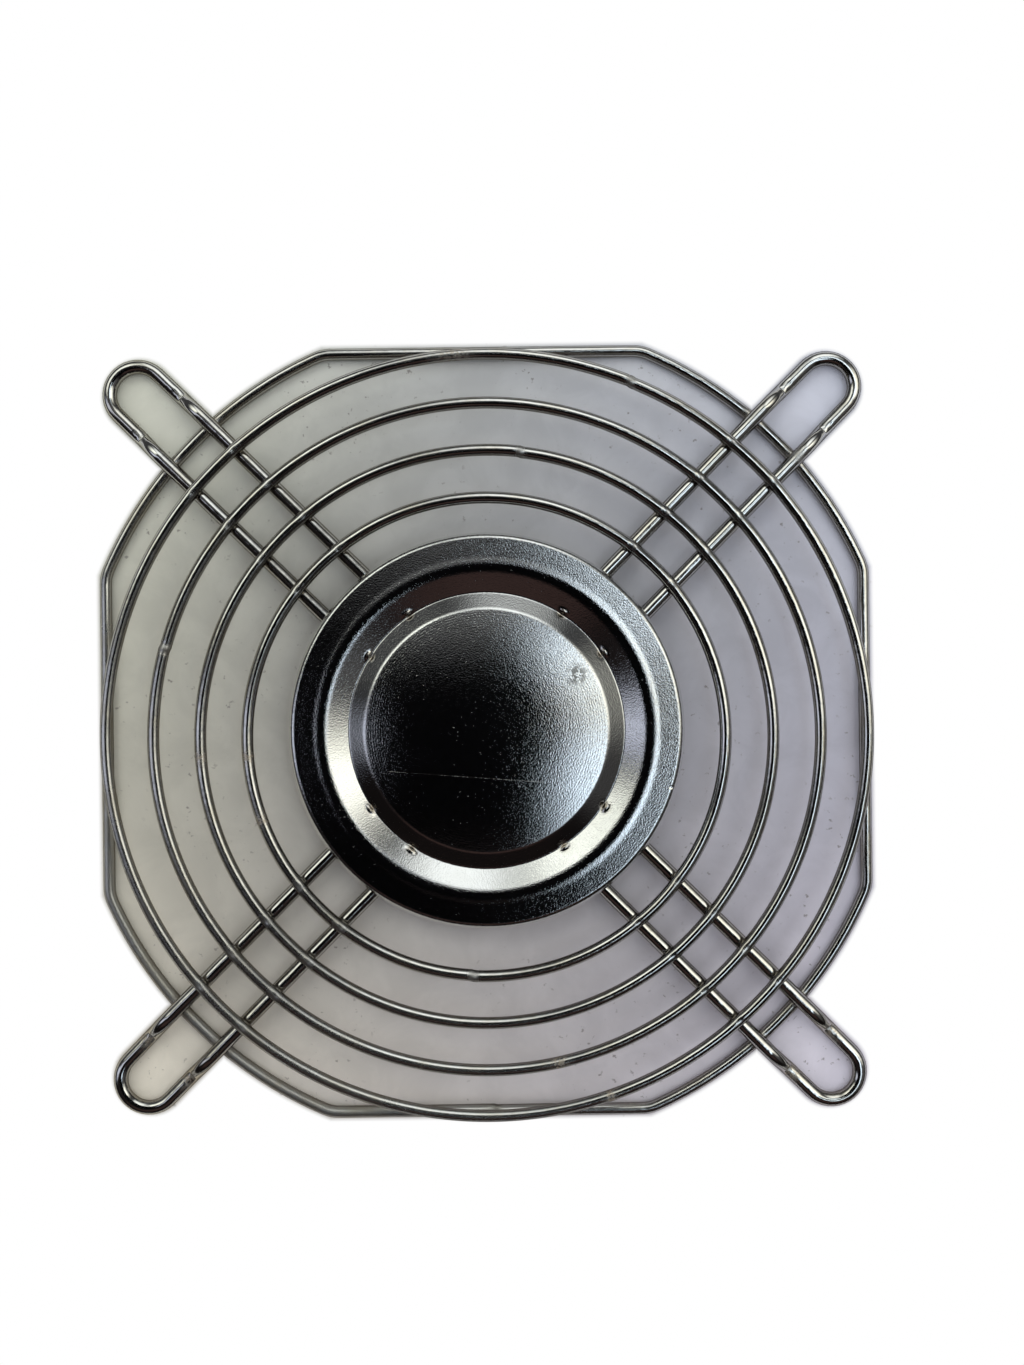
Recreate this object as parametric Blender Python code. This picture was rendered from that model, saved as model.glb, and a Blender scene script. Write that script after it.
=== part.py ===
"""Welded wire guard for an axial fan, lying face up on the plane of the fan's flange.

Four looped legs carry concentric rings on their front and a flat-sided frame ring on their back.
A pressed disc is welded over the legs' inner ends. The origin is in the middle of the frame ring,
on the flange plane, with +Z towards the room.
"""

import math

import bpy
from mathutils import Matrix, Vector

MM = 0.001

# The square fan behind the guard
FAN_SIDE = 119.0 * MM
SCREW_INSET = 7.1 * MM           # fan's edge to the line of its screw holes

# Wire stock
RING_WIRE = 1.8 * MM
LEG_WIRE = 2.2 * MM
WELD_GAP = 0.1 * MM              # left between pieces that are welded where they cross
WIRE_SIDES = 10

# Frame ring: a circle with four flattened sides
FRAME_INSET = 0.6 * MM           # fan's edge to the outside of a flat
FRAME_BULGE = 4.9 * MM           # how far the corners bow out past the flats
FRAME_BEND = 6.0 * MM            # centre-line radius where a flat meets a corner
FRAME_CORNER_STEPS = 10
FRAME_BEND_STEPS = 3

# Front rings, from the outside in
RING_NAMES = ("outer_ring", "second_ring", "third_ring", "inner_ring")
OUTER_RING_INSET = 0.6 * MM      # frame flat's centre line to the outer ring's
FINGER_GAP = 5.33 * MM           # clear gap from ring to ring, and from ring to medallion
RING_STEPS = 60

# Looped legs
SLOT_WIDTH = 6.2 * MM            # clear width between a leg's two wires
STEP_CLEARANCE = 2.2 * MM        # frame ring's outside to the top of the step
STEP_SLOPE = math.radians(34.65)
STEP_BEND = 2.0 * MM             # centre-line radius of the step's two bends
STEP_BEND_STEPS = 2
LEG_TAIL = 5.5 * MM              # how far the wires run on past the medallion's groove
LOOP_STEPS = 12

# Medallion: a pressed disc that sits on the legs with a round groove
SHEET = 0.75 * MM
GROOVE_INSET = 8.45 * MM         # each inset is measured in from the rim of the underside
CREST_INSET = 4.75 * MM
CREST_RISE = 1.5 * MM            # each rise is measured up from the groove's underside
CREST_RADIUS = 3.2 * MM
SHOULDER_INSET = 0.3 * MM
SHOULDER_RISE = 1.13 * MM
SHOULDER_RADIUS = 0.5 * MM
LIP_SLOPE = math.radians(45.0)   # how steeply the rim turns down outside the shoulder
PLATE_INSET = 11.15 * MM
PLATE_RISE = 1.5 * MM
PLATE_RADIUS = 1.2 * MM          # bend where the plate turns down into the groove
DOME_RISE = 1.22 * MM            # centre of the plate above its edge
DOME_STEPS = 4
PLATE_STEPS = 2
CREST_STEPS = 3
SHOULDER_STEPS = 2
MEDALLION_STEPS = 56

# Where the welder left each piece: distance from the middle of the frame ring
RING_DRIFT = {
    "outer_ring": (0.21 * MM, -0.26 * MM),
    "second_ring": (0.12 * MM, -0.56 * MM),
    "third_ring": (0.12 * MM, -0.56 * MM),
    "inner_ring": (0.12 * MM, -0.56 * MM),
}
MEDALLION_DRIFT = (0.14 * MM, 0.28 * MM)

# Direction of each looped leg from the centre
LEG_ANGLES = {
    "corner_loop_ne": math.radians(44.75),
    "corner_loop_nw": math.radians(135.3),
    "corner_loop_sw": math.radians(225.2),
    "corner_loop_se": math.radians(314.8),
}

# Plating: linear colour and roughness
PLATING = (0.75, 0.74, 0.71)
WIRE_ROUGHNESS = 0.18
MEDALLION_ROUGHNESS = 0.22

# Heights of the centre lines, stacked up from the flange plane
FRAME_HEIGHT = RING_WIRE / 2
LOOP_HEIGHT = LEG_WIRE / 2
LEG_HEIGHT = RING_WIRE + WELD_GAP + LEG_WIRE / 2
LEG_TOP = LEG_HEIGHT + LEG_WIRE / 2
RING_HEIGHT = LEG_TOP + WELD_GAP + RING_WIRE / 2
GROOVE_HEIGHT = LEG_TOP + WELD_GAP

# Radii that follow from the sizes above
SCREW_RADIUS = (FAN_SIDE / 2 - SCREW_INSET) * math.sqrt(2)
FLAT_DISTANCE = FAN_SIDE / 2 - FRAME_INSET - RING_WIRE / 2
FRAME_RADIUS = FLAT_DISTANCE + FRAME_BULGE
OUTER_RING_RADIUS = FLAT_DISTANCE - OUTER_RING_INSET
RING_PITCH = RING_WIRE + FINGER_GAP
INNER_RING_RADIUS = OUTER_RING_RADIUS - RING_PITCH * (len(RING_NAMES) - 1)
MEDALLION_RADIUS = INNER_RING_RADIUS - RING_WIRE / 2 - FINGER_GAP
RIM_RADIUS = MEDALLION_RADIUS - SHEET * math.sin(LIP_SLOPE)
LEG_HALF_SPACING = (SLOT_WIDTH + LEG_WIRE) / 2


def clear_scene():
    for thing in list(bpy.data.objects):
        bpy.data.objects.remove(thing, do_unlink=True)


def plating_material(name, roughness):
    material = bpy.data.materials.new(name)
    material.use_nodes = True
    shader = material.node_tree.nodes["Principled BSDF"]
    shader.inputs["Base Color"].default_value = (*PLATING, 1.0)
    shader.inputs["Metallic"].default_value = 1.0
    shader.inputs["Roughness"].default_value = roughness
    return material


def add_object(name, data, parent, roughness):
    """Put an object under the guard's empty, with a material of its own."""
    thing = bpy.data.objects.new(name, data)
    bpy.context.collection.objects.link(thing)
    thing.parent = parent
    data_slots = thing.data.materials
    if not data_slots:
        data_slots.append(None)
    slot = thing.material_slots[0]
    slot.link = "OBJECT"
    slot.material = plating_material(name + "_plating", roughness)
    return thing


def arc(centre, radius, start, end, steps):
    """Points along a level arc, with both of its ends."""
    points = []
    for step in range(steps + 1):
        angle = start + (end - start) * step / steps
        offset = Vector((math.cos(angle), math.sin(angle), 0.0)) * radius
        points.append(centre + offset)
    return points


def bend(before, corner, after, radius, steps):
    """The arc that rounds one corner of a line through three points."""
    back = (before - corner).normalized()
    ahead = (after - corner).normalized()
    turn = math.pi - back.angle(ahead)
    start = corner + back * radius * math.tan(turn / 2)
    centre = corner + (back + ahead).normalized() * radius / math.cos(turn / 2)
    axis = ahead.cross(back)
    points = []
    for step in range(steps + 1):
        swing = Matrix.Rotation(turn * step / steps, 3, axis)
        points.append(centre + swing @ (start - centre))
    return points


def section_guide(name, wire):
    """A wire's cross-section: a polygon with flats at top and bottom, the wire's size across them."""
    corner_radius = wire / 2 / math.cos(math.pi / WIRE_SIDES)
    curve = bpy.data.curves.new(name, "CURVE")
    curve.dimensions = "2D"
    spline = curve.splines.new("POLY")
    spline.points.add(WIRE_SIDES - 1)
    for index, point in enumerate(spline.points):
        angle = math.pi / 2 - math.pi * (2 * index + 1) / WIRE_SIDES
        point.co = (corner_radius * math.cos(angle), corner_radius * math.sin(angle), 0.0, 1.0)
    spline.use_cyclic_u = True
    guide = bpy.data.objects.new(name, curve)
    bpy.context.collection.objects.link(guide)
    guide.hide_render = True
    guide.display_type = "WIRE"
    return guide


def wire_curve(name, points, section, closed):
    """A wire bent along its centre line."""
    curve = bpy.data.curves.new(name, "CURVE")
    curve.dimensions = "3D"
    curve.twist_mode = "Z_UP"
    curve.bevel_mode = "OBJECT"
    curve.bevel_object = section
    curve.use_fill_caps = True
    spline = curve.splines.new("POLY")
    spline.points.add(len(points) - 1)
    for point, place in zip(spline.points, points):
        point.co = (*place, 1.0)
    spline.use_cyclic_u = closed
    return curve


def frame_ring_points():
    """Centre line of the frame ring: four flats, each bent into the corner arc that follows it."""
    bend_x = FLAT_DISTANCE - FRAME_BEND
    bend_y = math.sqrt((FRAME_RADIUS - FRAME_BEND) ** 2 - bend_x ** 2)
    turn = math.atan2(bend_y, bend_x)
    quarter = math.pi / 2
    first_bend = arc(Vector((bend_x, bend_y, 0.0)), FRAME_BEND, 0.0, turn, FRAME_BEND_STEPS)
    corner = arc(Vector(), FRAME_RADIUS, turn, quarter - turn, FRAME_CORNER_STEPS)
    last_bend = arc(Vector((bend_y, bend_x, 0.0)), FRAME_BEND, quarter - turn, quarter, FRAME_BEND_STEPS)
    side = first_bend + corner[1:-1] + last_bend
    points = []
    for index in range(4):
        spin = Matrix.Rotation(index * quarter, 3, "Z")
        points += [spin @ point for point in side]
    return points


def leg_points():
    """Centre line of a looped leg that points along +X: in one wire, round the screw, back again."""
    groove_radius = RIM_RADIUS - GROOVE_INSET
    inner_end = math.sqrt(groove_radius ** 2 - LEG_HALF_SPACING ** 2) - LEG_TAIL
    step_top = FRAME_RADIUS + RING_WIRE / 2 + STEP_CLEARANCE
    step_foot = step_top + (LEG_HEIGHT - LOOP_HEIGHT) / math.tan(STEP_SLOPE)
    tail = Vector((inner_end, LEG_HALF_SPACING, LEG_HEIGHT))
    top = Vector((step_top, LEG_HALF_SPACING, LEG_HEIGHT))
    foot = Vector((step_foot, LEG_HALF_SPACING, LOOP_HEIGHT))
    screw = Vector((SCREW_RADIUS, 0.0, LOOP_HEIGHT))
    loop = arc(screw, LEG_HALF_SPACING, math.pi / 2, -math.pi / 2, LOOP_STEPS)
    wire = [tail]
    wire += bend(tail, top, foot, STEP_BEND, STEP_BEND_STEPS)
    wire += bend(top, foot, loop[0], STEP_BEND, STEP_BEND_STEPS)
    mirrored = [Vector((point.x, -point.y, point.z)) for point in reversed(wire)]
    return wire + loop + mirrored


def medallion_underside():
    """Underside of the pressed sheet as radius and height, from the centre out to the rim."""
    def place(inset, rise):
        return Vector((RIM_RADIUS - inset, 0.0, GROOVE_HEIGHT + rise))

    plate_edge = place(PLATE_INSET, PLATE_RISE)
    groove = place(GROOVE_INSET, 0.0)
    crest = place(CREST_INSET, CREST_RISE)
    shoulder = place(SHOULDER_INSET, SHOULDER_RISE)
    rim = place(0.0, SHOULDER_RISE - SHOULDER_INSET * math.tan(LIP_SLOPE))
    points = dome_points(plate_edge)[:-1]
    points += bend(points[-1], plate_edge, groove, PLATE_RADIUS, PLATE_STEPS)
    points.append(groove)
    points += bend(groove, crest, shoulder, CREST_RADIUS, CREST_STEPS)
    points += bend(crest, shoulder, rim, SHOULDER_RADIUS, SHOULDER_STEPS)
    points.append(rim)
    return points


def dome_points(edge):
    """The slightly domed plate, as an arc from the axis out to its edge."""
    radius = (edge.x ** 2 + DOME_RISE ** 2) / (2 * DOME_RISE)
    spread = math.asin(edge.x / radius)
    top = edge.z + DOME_RISE
    points = []
    for step in range(DOME_STEPS + 1):
        angle = spread * step / DOME_STEPS
        height = top - radius * (1 - math.cos(angle))
        points.append(Vector((radius * math.sin(angle), 0.0, height)))
    return points


def add_medallion(parent):
    points = medallion_underside()
    mesh = bpy.data.meshes.new("medallion")
    mesh.from_pydata(points, [(index, index + 1) for index in range(len(points) - 1)], [])
    disc = add_object("medallion", mesh, parent, MEDALLION_ROUGHNESS)
    disc.location = (*MEDALLION_DRIFT, 0.0)
    turning = disc.modifiers.new("turning", "SCREW")
    turning.axis = "Z"
    turning.steps = MEDALLION_STEPS
    turning.render_steps = MEDALLION_STEPS
    turning.use_merge_vertices = True
    turning.merge_threshold = 0.00001
    turning.use_smooth_shade = True
    sheet = disc.modifiers.new("sheet", "SOLIDIFY")
    sheet.thickness = SHEET
    sheet.offset = 1.0
    sheet.use_even_offset = True


def add_front_rings(parent, section):
    for index, name in enumerate(RING_NAMES):
        radius = OUTER_RING_RADIUS - index * RING_PITCH
        points = arc(Vector(), radius, 0.0, 2 * math.pi, RING_STEPS)[:-1]
        ring = add_object(name, wire_curve(name, points, section, True), parent, WIRE_ROUGHNESS)
        ring.location = (*RING_DRIFT[name], RING_HEIGHT)


def add_frame_ring(parent, section):
    curve = wire_curve("frame_ring", frame_ring_points(), section, True)
    ring = add_object("frame_ring", curve, parent, WIRE_ROUGHNESS)
    ring.location.z = FRAME_HEIGHT


def add_corner_loops(parent, section):
    curve = wire_curve("corner_loop", leg_points(), section, False)
    for name, angle in LEG_ANGLES.items():
        leg = add_object(name, curve, parent, WIRE_ROUGHNESS)
        leg.rotation_euler.z = angle


def main():
    clear_scene()
    guard = bpy.data.objects.new("fan_guard", None)
    bpy.context.collection.objects.link(guard)
    ring_section = section_guide("ring_section", RING_WIRE)
    leg_section = section_guide("leg_section", LEG_WIRE)
    add_front_rings(guard, ring_section)
    add_frame_ring(guard, ring_section)
    add_corner_loops(guard, leg_section)
    add_medallion(guard)


main()
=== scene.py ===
import math

import bpy
import numpy as np
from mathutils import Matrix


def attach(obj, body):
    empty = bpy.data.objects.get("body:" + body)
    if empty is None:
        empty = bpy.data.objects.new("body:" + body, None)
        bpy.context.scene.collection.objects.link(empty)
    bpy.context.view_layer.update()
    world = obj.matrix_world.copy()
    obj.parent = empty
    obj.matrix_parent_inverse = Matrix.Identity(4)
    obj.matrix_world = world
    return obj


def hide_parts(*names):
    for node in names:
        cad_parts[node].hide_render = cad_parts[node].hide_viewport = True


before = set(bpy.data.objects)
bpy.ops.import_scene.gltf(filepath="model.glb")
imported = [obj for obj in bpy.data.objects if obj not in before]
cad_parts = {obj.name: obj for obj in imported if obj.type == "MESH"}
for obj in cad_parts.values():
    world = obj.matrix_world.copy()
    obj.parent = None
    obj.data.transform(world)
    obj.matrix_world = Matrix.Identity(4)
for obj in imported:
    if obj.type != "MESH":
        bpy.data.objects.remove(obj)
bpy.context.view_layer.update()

MM = 0.001
UP = np.array([0.0, 0.0, 1.0])

# Sizes in mm, in the frame of the CAD model
FAN_SIDE = 119.0
RING_WIRE = 1.8
LEG_WIRE = 2.2
WELD_GAP = 0.1                       # left between wires that are welded where they cross
FRAME_INSET = 0.6                    # fan's edge to the outside of a flat
FRAME_BULGE = 4.9                    # how far the corners bow out past the flats
FRAME_BEND = 6.0                     # centre-line radius where a flat meets a corner
SCREW_RADIUS = 74.105                # half the diagonal of the fan's 104.8 mm screw square
FLAT_DISTANCE = FAN_SIDE / 2 - FRAME_INSET - RING_WIRE / 2
FRAME_RADIUS = FLAT_DISTANCE + FRAME_BULGE

# Heights of the wires' centre lines, each layer resting on the one below
FRAME_HEIGHT = RING_WIRE / 2
LOOP_HEIGHT = LEG_WIRE / 2
LEG_HEIGHT = RING_WIRE + WELD_GAP + LEG_WIRE / 2
RING_HEIGHT = LEG_HEIGHT + LEG_WIRE / 2 + WELD_GAP + RING_WIRE / 2

# Half the distance between a leg's two wires: at the screw, at the step and at the inner end
LOOP_HALF_SPACING = 4.33
LEG_HALF_SPACING = 4.42
TAIL_HALF_SPACING = 4.28
# The step down to the loop and the wires' inner ends, as distances from the guard's centre
STEP_TOP = 66.0
STEP_FOOT = 68.75
LEG_INNER_END = 15.03
STEP_TOP_BEND = 5.0
STEP_FOOT_BEND = 2.5
# Welds and cut ends
ELECTRODE_WIDTH = 1.2                # of the flat that the welding electrode left on a ring
RING_WELD = (0.24, 0.95)             # depth and width of the metal drawn out at a crossing
FRAME_WELD = (0.20, 1.0)
SEAM_WIDTH = 0.3
SEAM_UPSET = 0.03                    # swell of a butt weld, as a share of the wire
SEAM_NECKS = (0.03, 0.02)            # narrowing ahead of it and behind it, as shares too
SEAM_STEP = 0.05                     # how far a butt weld's two ends are out of line
CUT_CHAMFER = 0.16
CUT_FACE = 0.86                      # width of a cut end's face, as a share of the wire
# Points round a wire's section
RING_SIDES = 24
LEG_SIDES = 28

# Front rings: radius, centre, and the angle of the butt weld that closes each
RINGS = {
    "outer_ring": (57.42, (0.17, -0.38), 67.0),
    "second_ring": (50.30, (0.18, -0.62), 164.0),
    "third_ring": (43.18, (0.15, -0.64), 82.5),
    "inner_ring": (36.05, (0.10, -0.66), 266.0),
}
FRAME_SEAM = 270.6
FRAME_BEND_HEADINGS = (24.5, 65.5)   # where a flat meets a bowed corner, in each quarter turn
LEGS = {
    "corner_loop_ne": 44.75,
    "corner_loop_nw": 135.3,
    "corner_loop_sw": 225.2,
    "corner_loop_se": 314.8,
}
# How far each leg's inner end strays sideways from its heading
LEG_STRAY = {
    "corner_loop_ne": -0.42,
    "corner_loop_nw": 0.0,
    "corner_loop_sw": 0.40,
    "corner_loop_se": -0.06,
}
RUSTY_LOOPS = ("corner_loop_sw", "corner_loop_se")

# Rust spots and old drips on the rings: ring, angle, half length in mm and strength
RING_STAINS = (
    ("outer_ring", 288.1, 0.7, 0.8),
    ("outer_ring", 94.3, 2.6, 0.45),
    ("second_ring", 281.9, 0.8, 0.9),
    ("third_ring", 183.7, 0.7, 0.7),
    ("inner_ring", 184.4, 0.6, 0.8),
    ("inner_ring", 199.5, 0.8, 0.7),
)

# The medallion's top as (radius, height), where its slopes would meet, and the bend at each
SHEET = 0.75
PLATE_EDGE = 18.35
PLATE_HEIGHT = 6.42
DOME_RISE = 1.25
GROOVE = (20.8, 4.95)
CREST_INSIDE = (24.55, 6.46)
CREST_OUTSIDE = (26.1, 6.27)
SHOULDER = (29.3, 6.12)
RIM = (29.78, 5.35)
MEDALLION_BENDS = (1.3, 0.3, 4.0, 6.0, 0.8)
MEDALLION_CENTRE = (0.14, 0.28)
MEDALLION_TURNS = 220
NICK_RADIUS = 21.0
NICK_LEAN = 11.7                     # degrees from a leg's middle to each of its two weld nicks
NICK_BURR = 0.24
NICK_DEPTH = 0.16
SCRATCH = ((-14.7, -5.9, 0.0), (8.5, -7.75, 0.0))
PIT_PLACE = (27.6, -8.8, 0.0)
SMUDGE_PLACE = (13.6, 8.2, 0.0)

# Depths of the surfaces' texture
DRAW_LINE_DEPTH = 0.006
PEEL_DEPTH = 0.02
DENT_DEPTH = 0.05
WAVE_DEPTH = 0.012
PEBBLE_DEPTH = 0.022
GRIT_DEPTH = 0.008
PITTING_DEPTH = 0.012
SPIN_LINE_DEPTH = 0.0012
SCRATCH_DEPTH = 0.010
SPIN_LINE_RATE = 17.0                # radians of the lines' sine wave in each mm
SOUTH_WEST = (-0.7071, -0.7071, 0.0)

# Colours
WHITE = (1.0, 1.0, 1.0, 1.0)
WIRE_PLATE = (0.75, 0.74, 0.71)
FRAME_PLATE = (0.74, 0.73, 0.70)
AGED_SHARE = (0.93, 0.9, 0.84)
# painted shade and tarnish: the colour the wires' downward-facing sides darken to
TARNISH_AND_SIDE_SHADE = (0.34, 0.33, 0.32, 1.0)
WIRE_EDGE_TINT = (0.45, 0.44, 0.43, 1.0)
WIRE_RUST = (0.34, 0.22, 0.09, 1.0)
WIRE_GRIME = (0.17, 0.13, 0.10, 1.0)
SHEET_PLATE = (0.76, 0.76, 0.75, 1.0)
SHEET_AGED = (0.70, 0.70, 0.68, 1.0)
SHEET_RUST = (0.40, 0.26, 0.10, 1.0)
SHEET_GRIME = (0.12, 0.10, 0.08, 1.0)
SMUDGE = (0.13, 0.13, 0.12, 1.0)
TABLE_WEST = (0.82, 0.81, 0.68, 1.0)
TABLE_EAST = (0.78, 0.79, 0.92, 1.0)
TABLE_SOUTH_TINT = (1.05, 0.98, 0.98, 1.0)
TABLE_NORTH_TINT = (0.975, 0.99, 1.0, 1.0)
TABLE_DULL = (0.90, 0.90, 0.90, 1.0)
TABLE_DIRT = (0.15, 0.12, 0.11, 1.0)
# painted shade on the table beyond the guard, seen only in reflections: darkest to the south
TABLE_FAR_SOUTH_SHADE = (0.10, 0.10, 0.10, 1.0)
TABLE_FAR_NORTH = (0.62, 0.62, 0.62, 1.0)
WALL_HIGH = (0.012, 0.010, 0.010, 1.0)
WALL_LOW = (0.006, 0.005, 0.005, 1.0)
WALL_NORTH = (0.046, 0.047, 0.049, 1.0)
ZENITH = (0.004, 0.004, 0.005, 1.0)
HORIZON = (0.3, 0.3, 0.3, 1.0)

# Seeds of the random draws
RING_SEED = 10
RING_SEAM_SEED = 20
FRAME_SEAM_SEED = 31
LOOP_SEED = 40
NICK_SEED = 7

# Studio
CAMERA_PLACE = (4.04, 7.45, 251.1)
CAMERA_TURN = -0.7
CAMERA_SENSOR = 36.0
CAMERA_LENS = 57.4
FILL_POWER = 1.45
FILL_SPREAD = 170.0
FILL_TILT = -27.0
FILL_HEADING = -32.0
CARD_HEIGHT = 250.0
CARD_CORNERS = ((-130.0, -122.0), (-130.0, 67.0), (35.0, 67.0), (66.0, 36.0), (66.0, -122.0))
CARD_COLOUR = (0.006, 0.006, 0.007, 1.0)
TABLE_HALF = 4000.0
TABLE_DROP = 0.02                    # keeps the table clear of the wires that rest on it
LOOP_OUTLINE = 5.3                   # half width of a leg and its loop, outside to outside


# Numbers


def unit(vectors):
    return vectors / np.linalg.norm(vectors, axis=-1, keepdims=True)


def bump_curve(distance, width, power=2.0):
    """One at distance 0, falling to nothing past the width."""
    return np.exp(-np.abs(distance / width) ** power)


def soft_limit(value, limit, blend):
    """The value, held below the limit with a rounded corner."""
    over = np.clip((value - limit) / blend, -30.0, 30.0)
    return value - blend * np.log1p(np.exp(over))


def turned(points, degrees):
    angle = math.radians(degrees)
    c, s = math.cos(angle), math.sin(angle)
    spin = np.array([[c, -s, 0.0], [s, c, 0.0], [0.0, 0.0, 1.0]])
    return np.asarray(points) @ spin.T


# Centre lines


def distances(line):
    """Distance along a line to each of its points."""
    gaps = np.linalg.norm(np.diff(line, axis=0), axis=1)
    return np.concatenate([[0.0], np.cumsum(gaps)])


def spaced(start, end, step, spots=(), reach=2.6, fine=0.2):
    """Places from start to end, a step apart, and closer together near each spot."""
    places = list(np.linspace(start, end, max(2, int(round((end - start) / step)) + 1)))
    for spot in spots:
        places += list(np.arange(spot - reach, spot + reach, fine))
    places = np.array(sorted(p for p in places if start <= p <= end))
    keep = [places[0]]
    for place in places[1:-1]:
        if place - keep[-1] > fine * 0.6 and places[-1] - place > fine * 0.6:
            keep.append(place)
    return np.array(keep + [places[-1]])


def leg_crossings(radius, centre):
    """Angles, in degrees round its own centre, at which a circle crosses the legs' wires."""
    found = []
    for heading in LEGS.values():
        x, y, _ = turned([centre[0], centre[1], 0.0], -heading)
        for side in (-LEG_HALF_SPACING, LEG_HALF_SPACING):
            along = math.sqrt(radius ** 2 - (side - y) ** 2)
            found.append(math.degrees(math.atan2(side - y, along)) + heading)
    return sorted(angle % 360.0 for angle in found)


def frame_ring_line(step):
    """The frame ring's centre line as dense points: flats, bends and bowed corners."""
    bend_x = FLAT_DISTANCE - FRAME_BEND
    bend_y = math.sqrt((FRAME_RADIUS - FRAME_BEND) ** 2 - bend_x ** 2)
    turn = math.atan2(bend_y, bend_x)
    pieces = []

    def add(centre, radius, start, end):
        count = max(3, int(radius * abs(end - start) / step))
        angles = np.linspace(start, end, count, endpoint=False)
        x = centre[0] + radius * np.cos(angles)
        y = centre[1] + radius * np.sin(angles)
        pieces.append(np.stack([x, y], 1))

    count = int(2 * bend_y / step)
    flat = np.linspace(-bend_y, bend_y, count, endpoint=False)
    pieces.append(np.stack([np.full(count, FLAT_DISTANCE), flat], 1))
    add((bend_x, bend_y), FRAME_BEND, 0.0, turn)
    add((0.0, 0.0), FRAME_RADIUS, turn, math.pi / 2 - turn)
    add((bend_y, bend_x), FRAME_BEND, math.pi / 2 - turn, math.pi / 2)
    side = np.concatenate(pieces)
    side = np.concatenate([side, np.zeros((len(side), 1))], 1)
    return np.concatenate([turned(side, 90.0 * quarter) for quarter in range(4)])


def resample(points, places, closed):
    """Points of a line at the given distances along it, and the line's length."""
    line = np.concatenate([points, points[:1]]) if closed else points
    along = distances(line)
    return np.stack([np.interp(places, along, line[:, axis]) for axis in range(3)], 1), along[-1]


def fillet(before, corner, after, radius, count):
    """Points of the arc that rounds a corner between its two neighbours."""
    back, ahead = unit(before - corner), unit(after - corner)
    turn = math.pi - math.acos(float(np.clip(back @ ahead, -1, 1)))
    start = corner + back * radius * math.tan(turn / 2)
    centre = corner + unit(back + ahead) * radius / math.cos(turn / 2)
    first, axis = start - centre, unit(np.cross(ahead, back))
    out = []
    for step in range(count + 1):
        a = turn * step / count
        out.append(centre + first * math.cos(a) + np.cross(axis, first) * math.sin(a))
    return out


def leg_line():
    """Centre line of a looped leg along +X, from one inner end round the screw to the other."""
    h = LOOP_HALF_SPACING
    tail = np.array([LEG_INNER_END, TAIL_HALF_SPACING, LEG_HEIGHT])
    top = np.array([STEP_TOP, LEG_HALF_SPACING, LEG_HEIGHT])
    foot = np.array([STEP_FOOT, (h + LEG_HALF_SPACING) / 2, LOOP_HEIGHT])
    first = np.array([SCREW_RADIUS, h, LOOP_HEIGHT])
    wire = [tail] + fillet(tail, top, foot, STEP_TOP_BEND, 14)
    wire += fillet(top, foot, first, STEP_FOOT_BEND, 12)
    loop = [np.array([SCREW_RADIUS + h * math.cos(a), h * math.sin(a), LOOP_HEIGHT])
            for a in np.linspace(math.pi / 2, -math.pi / 2, 49)]
    back = [point * np.array([1.0, -1.0, 1.0]) for point in reversed(wire)]
    return np.array(wire + loop + back)


# Meshes


def make_object(name, vertices, faces, material, attributes=None, uvs=None):
    """A smooth-shaded mesh from points in mm."""
    mesh = bpy.data.meshes.new(name)
    mesh.from_pydata((np.asarray(vertices) * MM).tolist(), [], faces)
    mesh.update()
    mesh.polygons.foreach_set("use_smooth", [True] * len(mesh.polygons))
    for label, values in (attributes or {}).items():
        layer = mesh.attributes.new(label, "FLOAT", "POINT")
        layer.data.foreach_set("value", np.asarray(values, np.float32))
    if uvs is not None:
        layer = mesh.uv_layers.new(name="along_wire")
        layer.data.foreach_set("uv", np.asarray(uvs, np.float32).ravel())
    mesh.materials.append(material)
    thing = bpy.data.objects.new(name, mesh)
    bpy.context.collection.objects.link(thing)
    return thing


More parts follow.
